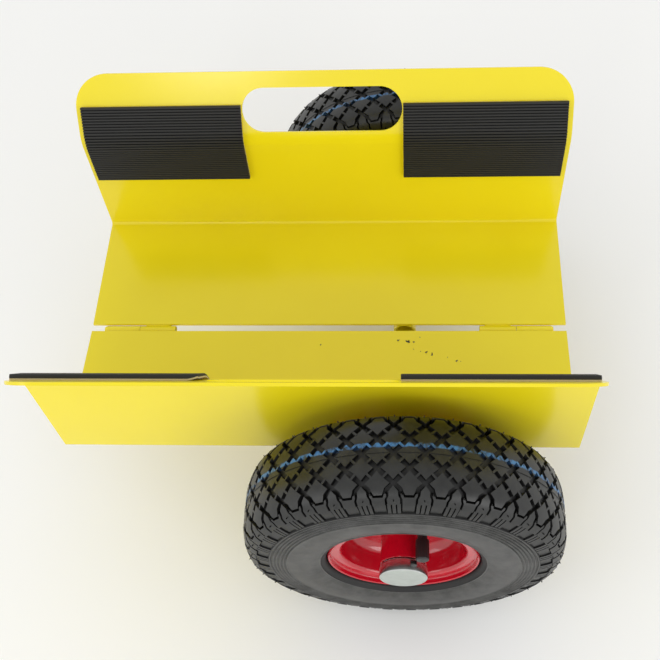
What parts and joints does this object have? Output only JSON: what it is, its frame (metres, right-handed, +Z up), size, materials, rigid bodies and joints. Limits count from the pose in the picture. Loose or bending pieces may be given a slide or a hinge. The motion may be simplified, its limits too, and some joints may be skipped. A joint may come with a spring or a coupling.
{
  "type": "panel dolly",
  "caption": "Self-clamping sheet and panel dolly: hinged bent steel plates with ribbed grip pads, carried on pneumatic wheels on stub axle tubes.",
  "frame": {"origin": "on the floor under the middle of the hinge line, which is the bottom centre of the whole box with the dolly standing on its tyres", "axes": "+X along the hinge line towards the end that the wheels are nearer to, +Y from the front half to the rear half along the axles, +Z up"},
  "size_m": [0.425, 0.4514, 0.3021],
  "materials": {
    "yellow_paint": "glossy yellow powder coat on steel",
    "red_paint": "glossy red enamel on pressed steel",
    "pad_rubber": "matt ribbed rubber",
    "pad_backing": "cream adhesive backing",
    "tyre_rubber": "matt moulded rubber with a painted blue line",
    "tube_rubber": "smooth black rubber",
    "valve_plastic": "satin black plastic",
    "zinc_plate": "zinc-plated steel",
    "bright_steel": "ground steel"
  },
  "bodies": {
    "rear_half": {"rear_plate": "yellow_paint", "rear_pad_right": "pad_rubber", "rear_pad_left": "pad_rubber", "rear_pad_backing_right": "pad_backing", "rear_pad_backing_left": "pad_backing", "rear_axle_tube": "yellow_paint", "rear_axle_collar": "zinc_plate", "rear_inner_washer": "zinc_plate", "rear_outer_washer": "zinc_plate", "rear_axle_cap": "zinc_plate", "hinge_left_rear_knuckle": "yellow_paint", "hinge_right_rear_knuckle": "yellow_paint", "hinge_left_pin": "bright_steel", "hinge_right_pin": "bright_steel"},
    "front_half": {"front_plate": "yellow_paint", "front_pad_right": "pad_rubber", "front_pad_left": "pad_rubber", "front_pad_backing_right": "pad_backing", "front_pad_backing_left": "pad_backing", "front_axle_tube": "yellow_paint", "front_axle_collar": "zinc_plate", "front_inner_washer": "zinc_plate", "front_outer_washer": "zinc_plate", "front_axle_cap": "zinc_plate", "hinge_left_front_knuckle": "yellow_paint", "hinge_right_front_knuckle": "yellow_paint"},
    "rear_wheel": {"rear_tyre": "tyre_rubber", "rear_inner_tube": "tube_rubber", "rear_rim_outer": "red_paint", "rear_rim_inner": "red_paint", "rear_hub": "red_paint", "rear_bearing_outer": "bright_steel", "rear_bearing_inner": "bright_steel", "rear_valve_stem": "tube_rubber", "rear_valve_cap": "valve_plastic"},
    "front_wheel": {"front_tyre": "tyre_rubber", "front_inner_tube": "tube_rubber", "front_rim_outer": "red_paint", "front_rim_inner": "red_paint", "front_hub": "red_paint", "front_bearing_outer": "bright_steel", "front_bearing_inner": "bright_steel", "front_valve_stem": "tube_rubber", "front_valve_cap": "valve_plastic"}
  },
  "joints": [
    {"name": "clamp_hinge", "type": "hinge", "parent": "rear_half", "child": "front_half", "pos_m": [0, 0, 0.13534], "axis": [-1, 0, 0], "range_deg": [-25, 76]},
    {"name": "rear_wheel_spin", "type": "hinge", "parent": "rear_half", "child": "rear_wheel", "pos_m": [0.0702, 0.17931, 0.1275], "axis": [0, 1, 0.0035], "continuous": true},
    {"name": "front_wheel_spin", "type": "hinge", "parent": "front_half", "child": "front_wheel", "pos_m": [0.0702, -0.17931, 0.1275], "axis": [0, -1, 0.0035], "continuous": true}
  ]
}
